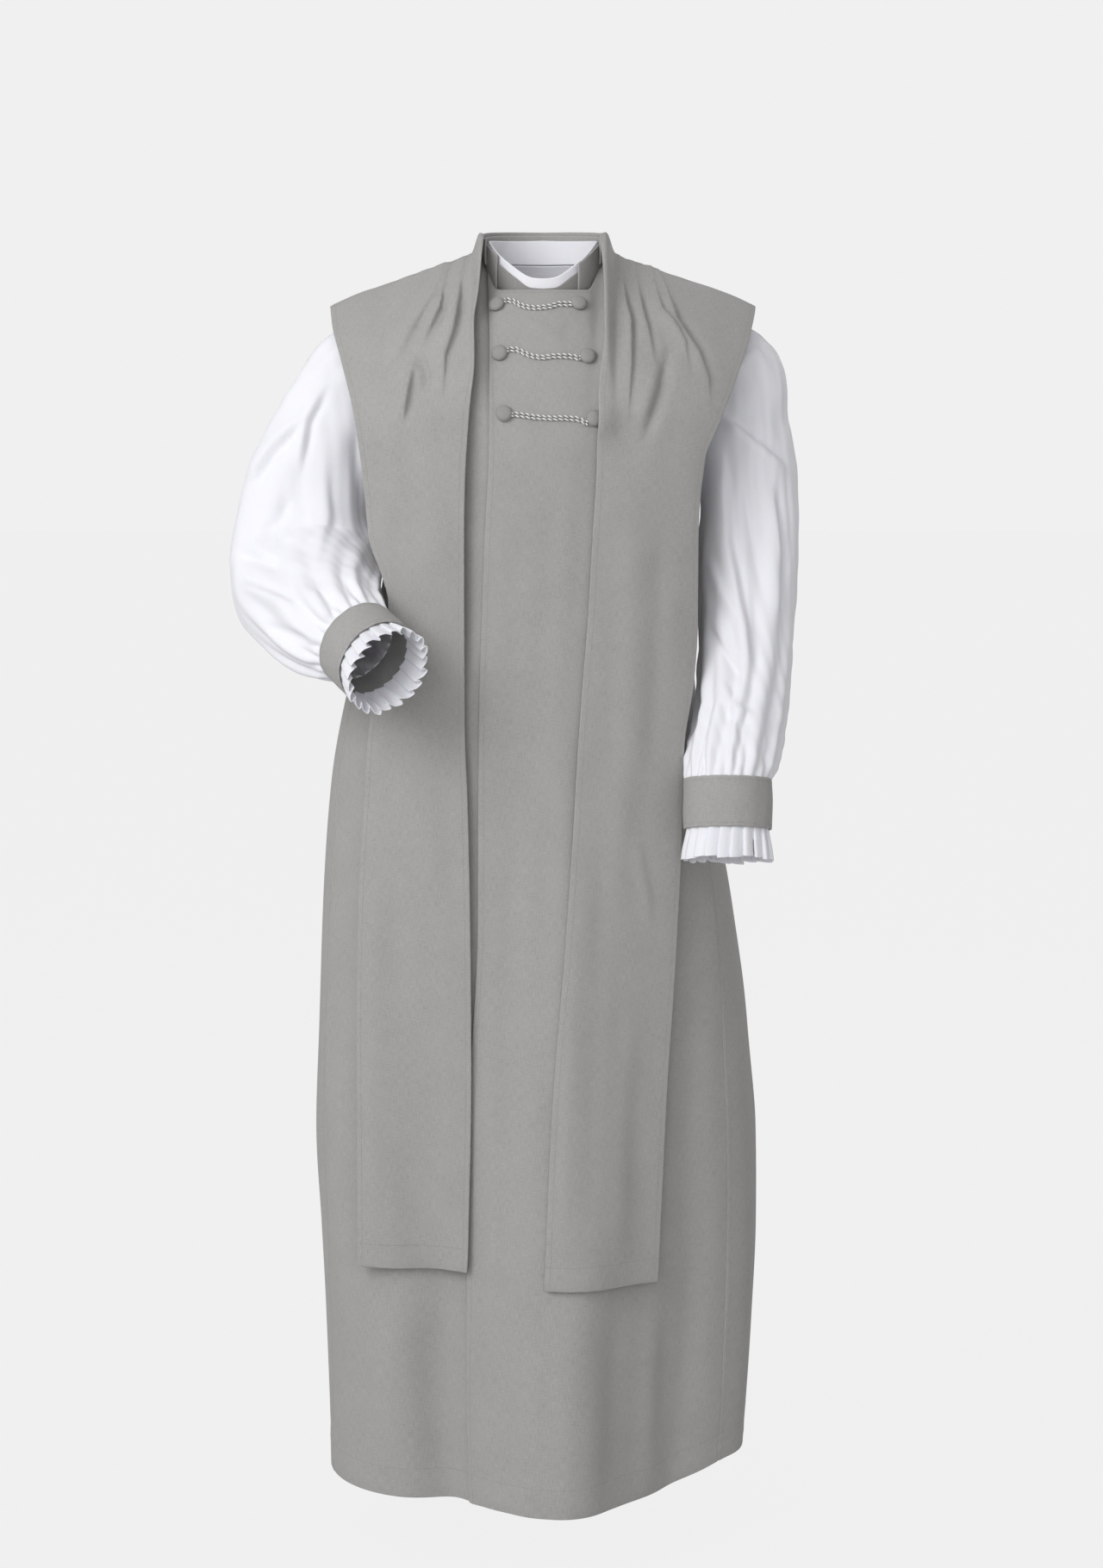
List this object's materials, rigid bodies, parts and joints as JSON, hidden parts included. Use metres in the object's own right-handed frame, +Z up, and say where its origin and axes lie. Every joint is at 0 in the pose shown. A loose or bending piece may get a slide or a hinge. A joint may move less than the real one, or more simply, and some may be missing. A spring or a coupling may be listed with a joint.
{
  "type": "chimere and rochet set",
  "caption": "Worn, hollow choir dress: an ankle-length overlapped gown with loose pleated front panels, band collar, buttons and cords, over a white full-sleeved rochet with ruffled cuffs.",
  "frame": {"origin": "the middle of the neck base, where the wearer's neck and shoulders hold the set up", "axes": "+Z up, -Y towards the front, +X towards the wearer's left side"},
  "size_m": [0.5969, 0.4309, 1.33],
  "materials": {
    "grey_cloth": "matt fine woven wool-like cloth",
    "dark_grey_cloth": "matt fine woven wool-like cloth",
    "white_cloth": "smooth cotton lawn with a slight sheen",
    "button_cloth": "matt cloth stretched over a button mould",
    "silver_cord": "twisted cord with a light lustre"
  },
  "bodies": {
    "root": {"chimere_back": "grey_cloth", "chimere_front_right": "grey_cloth", "chimere_front_left": "grey_cloth", "outer_panel_right": "grey_cloth", "outer_panel_left": "grey_cloth", "rochet_collar": "white_cloth", "collar_insert": "dark_grey_cloth", "gown_collar": "grey_cloth", "outer_collar": "grey_cloth", "button_right_1": "button_cloth", "button_left_1": "button_cloth", "cord_1": "silver_cord", "button_right_2": "button_cloth", "button_left_2": "button_cloth", "cord_2": "silver_cord", "button_right_3": "button_cloth", "button_left_3": "button_cloth", "cord_3": "silver_cord", "rochet_front": "white_cloth", "rochet_back": "white_cloth", "sleeve_right": "white_cloth", "sleeve_left": "white_cloth", "cuff_right": "grey_cloth", "ruffle_right": "white_cloth", "cuff_left": "grey_cloth", "ruffle_left": "white_cloth"}
  },
  "joints": []
}
